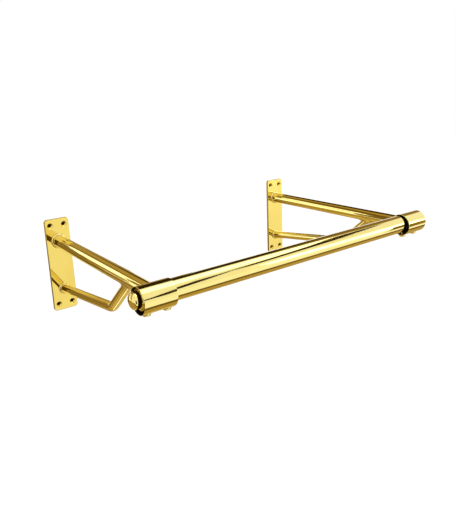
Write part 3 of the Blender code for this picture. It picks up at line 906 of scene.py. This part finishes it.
# %% [markdown]
# ## Cards for the metal to reflect
# A mirror needs something dark to reflect as well, or its roundness is lost. So dark, brown and white cards
# stand round the object outside the picture, as a photographer of metal sets them, and only reflections see
# them. They could be painted into the world, but a plane whose four corners are moved is easier to aim.

# %% A card that only reflections see
PLANE_ORDER = (0, 1, 3, 2)
BLIND_RAYS = ("camera", "diffuse", "transmission", "volume_scatter", "shadow")


def card(name, corners, tone, far_tone=None):
    """A flat card in one tone, or in two that run from its first side to its far side."""
    bpy.ops.object.select_all(action="DESELECT")
    bpy.ops.mesh.primitive_plane_add(size=1.0)
    panel = settle(name)
    for index, corner in zip(PLANE_ORDER, corners):
        panel.data.vertices[index].co = corner
    paint = bpy.data.materials.new(name)
    paint.use_nodes = True
    tree = paint.node_tree
    tree.nodes.remove(tree.nodes["Principled BSDF"])
    glow = node(tree, "ShaderNodeEmission", Color=(*tone, 1), Strength=1.0)
    if far_tone:
        place = node(tree, "ShaderNodeTexCoord")
        across = node(tree, "ShaderNodeSeparateXYZ")
        blend = node(tree, "ShaderNodeMix", data_type="RGBA")
        blend.inputs["A"].default_value, blend.inputs["B"].default_value = (*tone, 1), (*far_tone, 1)
        tree.links.new(place.outputs["UV"], across.inputs[0])
        tree.links.new(across.outputs["X"], blend.inputs["Factor"])
        tree.links.new(blend.outputs["Result"], glow.inputs["Color"])
    tree.links.new(glow.outputs[0], tree.nodes["Material Output"].inputs["Surface"])
    panel.data.materials.append(paint)
    for ray in BLIND_RAYS:
        setattr(panel, f"visible_{ray}", False)


# %% Cards below
BLACK, UMBER, DUSK = (0.03, 0.016, 0.003), (0.17, 0.104, 0.019), (0.25, 0.158, 0.037)
BROWN, TAN, GOLD = (0.36, 0.234, 0.064), (0.50, 0.351, 0.106), (0.66, 0.495, 0.17)
WHITE = (1.5, 1.5, 1.4)
UNDER_Z, LAYER = -0.6, 0.005


def under_card(name, x_span, y_span, layer, tone, far_tone=None):
    """A level card below the object; a higher layer hides a lower one."""
    (left, right), (near, far), z = x_span, y_span, UNDER_Z + layer * LAYER
    card(name, [(left, near, z), (right, near, z), (right, far, z), (left, far, z)], tone, far_tone)


under_card("under_edge_card", (-2.4, 1.6), (-0.88, -0.58), 0, UMBER)
under_card("under_card", (-2.4, 1.6), (-0.58, 2.6), 0, BROWN, TAN)
under_card("under_gold_card", (-0.21, 0.25), (-0.12, 0.35), 1, GOLD)
under_card("under_strip_card", (-0.33, -0.24), (-0.09, 0.08), 2, WHITE)
under_card("under_brace_card", (-0.62, -0.46), (0.04, 0.24), 1, GOLD)
under_card("under_far_card", (-1.1, -0.3), (1.1, 2.6), 1, UMBER)
print("cards below at", UNDER_Z, "m")

# %% [markdown]
# The other cards are aimed by angles. The arm cards put a pale band along each arm, and the border cards darken
# its edges. The line cards draw the thin dark line along the rail. Each stands where a ray from the camera goes
# after it has bounced off that tube, and a nearer card hides one behind it.

# %% Aiming by angles
MIDDLE = Vector((0, -0.25, 0.04))
LEFT_BRACE = Vector((bracket_x, -0.1, -0.03))
LEFT_ARM, RIGHT_ARM = Vector((bracket_x, -0.17, arm_z)), Vector((-bracket_x, -0.17, arm_z))


def from_angles(azimuth, elevation, distance, seen_from=MIDDLE):
    """A point round the object: azimuth runs from the front towards the right, in degrees."""
    a, e = math.radians(azimuth), math.radians(elevation)
    towards = Vector((math.sin(a) * math.cos(e), -math.cos(a) * math.cos(e), math.sin(e)))
    return seen_from + distance * towards


def far_card(name, angles, distance, tone, far_tone=None, seen_from=MIDDLE):
    """A card whose corners are given as azimuth and elevation from some place on the object."""
    card(name, [from_angles(*angle, distance, seen_from) for angle in angles], tone, far_tone)


# %% Cards round the object
NEAR_Y, NEAR_X, NEAR_Z = -0.5, (0.39, 0.52), (-0.05, 0.053)
card("right_card", [
    (NEAR_X[0], NEAR_Y, NEAR_Z[0]), (NEAR_X[1], NEAR_Y, NEAR_Z[0]),
    (NEAR_X[1], NEAR_Y, NEAR_Z[1]), (NEAR_X[0], NEAR_Y, NEAR_Z[1])], UMBER, BROWN)
far_card("rear_card", [(150, -16), (242, -16), (242, 50), (150, 50)], 9.0, BROWN, TAN)
far_card("left_border_card", [(206, -3), (217, 3), (206, 33), (184, 27)], 3.4, DUSK, None, LEFT_ARM)
far_card("left_arm_card", [(207, 4), (213, 5), (204, 27), (195, 20)], 3.2, WHITE, None, LEFT_ARM)
far_card("left_brace_card", [(193, -12), (208, -12), (207, 8), (193, 10)], 3.6, DUSK, None, LEFT_BRACE)
far_card("right_border_card", [(221, -8), (238, -2), (226, 50), (190, 48)], 5.2, UMBER, None, RIGHT_ARM)
far_card("right_arm_card", [(222, 13), (233, 15), (227, 28), (215, 27)], 4.4, WHITE, None, RIGHT_ARM)
far_card("left_strip_card", [(216, -50), (228, -50), (228, 10), (216, 10)], 3.2, WHITE)
far_card("rear_dark_card", [(168, 20), (129, 13), (121, 50), (140, 62)], 4.0, BLACK)
far_card("rear_brown_card", [(129, 13), (116, 9), (95, 39), (121, 50)], 4.0, UMBER, BROWN)
far_card("camera_side_card", [(302, -60), (350, -60), (350, 12), (302, 12)], 3.0, BLACK, UMBER)
far_card("front_line_card", [(24, 9), (41, 35), (36, 38), (19, 12)], 4.0, BLACK)
far_card("middle_line_card", [(41, 29), (66, 35), (66, 43), (40, 37)], 4.0, BLACK)
far_card("right_line_card", [(66, 37), (92, 38), (92, 45), (66, 43)], 4.0, BLACK)

# %% [markdown]
# ## Shade behind the screw holes
# The screw holes are open, and on a wall they look into its shade. A whole wall would hide the plates' backs, so
# a small dark disc stands just behind each hole. Seen from behind it is clear, so it doesn't show there.

# %% Dark discs behind the holes
WALL_GAP, DISC_RADIUS, DISC_SIDES = 0.0003, 0.0031, 24
SHADE_BROWN = (0.02, 0.012, 0.004, 1)
shade_tone = bpy.data.materials.new("wall_shade")
shade_tone.use_nodes = True
tree = shade_tone.node_tree
dark = tree.nodes["Principled BSDF"]
dark.inputs["Base Color"].default_value = SHADE_BROWN
dark.inputs["Specular IOR Level"].default_value = 0.0
facing = node(tree, "ShaderNodeNewGeometry")
clear = node(tree, "ShaderNodeBsdfTransparent")
either = node(tree, "ShaderNodeMixShader")
tree.links.new(facing.outputs["Backfacing"], either.inputs["Fac"])
tree.links.new(dark.outputs[0], either.inputs[1])
tree.links.new(clear.outputs[0], either.inputs[2])
tree.links.new(either.outputs[0], tree.nodes["Material Output"].inputs["Surface"])
for side in (1, -1):
    for x, z in hole_places:
        bpy.ops.object.select_all(action="DESELECT")
        bpy.ops.mesh.primitive_circle_add(
            vertices=DISC_SIDES, radius=DISC_RADIUS, fill_type="NGON",
            location=(side * x, WALL_GAP, z), rotation=(math.pi / 2, 0, 0))
        disc = settle("wall_shade")
        disc.data.materials.append(shade_tone)
print("wall shade stands", 1000 * WALL_GAP, "mm behind the plates")

# %% [markdown]
# ## Lamps
# Two broad soft lamps, one overhead on the right and one in front on the right, stand in for a studio's
# softboxes. Small lamps would put hard dots on the brass. These light the floor and put the palest bands on the
# tubes.

# %% Soft lamps
LAMP_DISTANCE = 6.0


def soft_lamp(name, place, size, radiance):
    """A square area lamp that faces the object, set by how bright its face looks."""
    lamp = bpy.data.lights.new(name, "AREA")
    lamp.shape, lamp.size = "SQUARE", size
    lamp.energy = radiance * math.pi * size * size
    holder = bpy.data.objects.new(name, lamp)
    holder.location = place
    holder.rotation_euler = (MIDDLE - Vector(place)).to_track_quat("-Z", "Y").to_euler()
    bpy.context.scene.collection.objects.link(holder)


soft_lamp("overhead_lamp", from_angles(78, 60, LAMP_DISTANCE), size=3.2, radiance=1.3)
soft_lamp("front_lamp", from_angles(47, 4.5, LAMP_DISTANCE), size=2.0, radiance=2.2)

# %% [markdown]
# ## Last update
# The scene is updated once more, so that every piece's place is current.

# %% Updating the scene
bpy.context.view_layer.update()
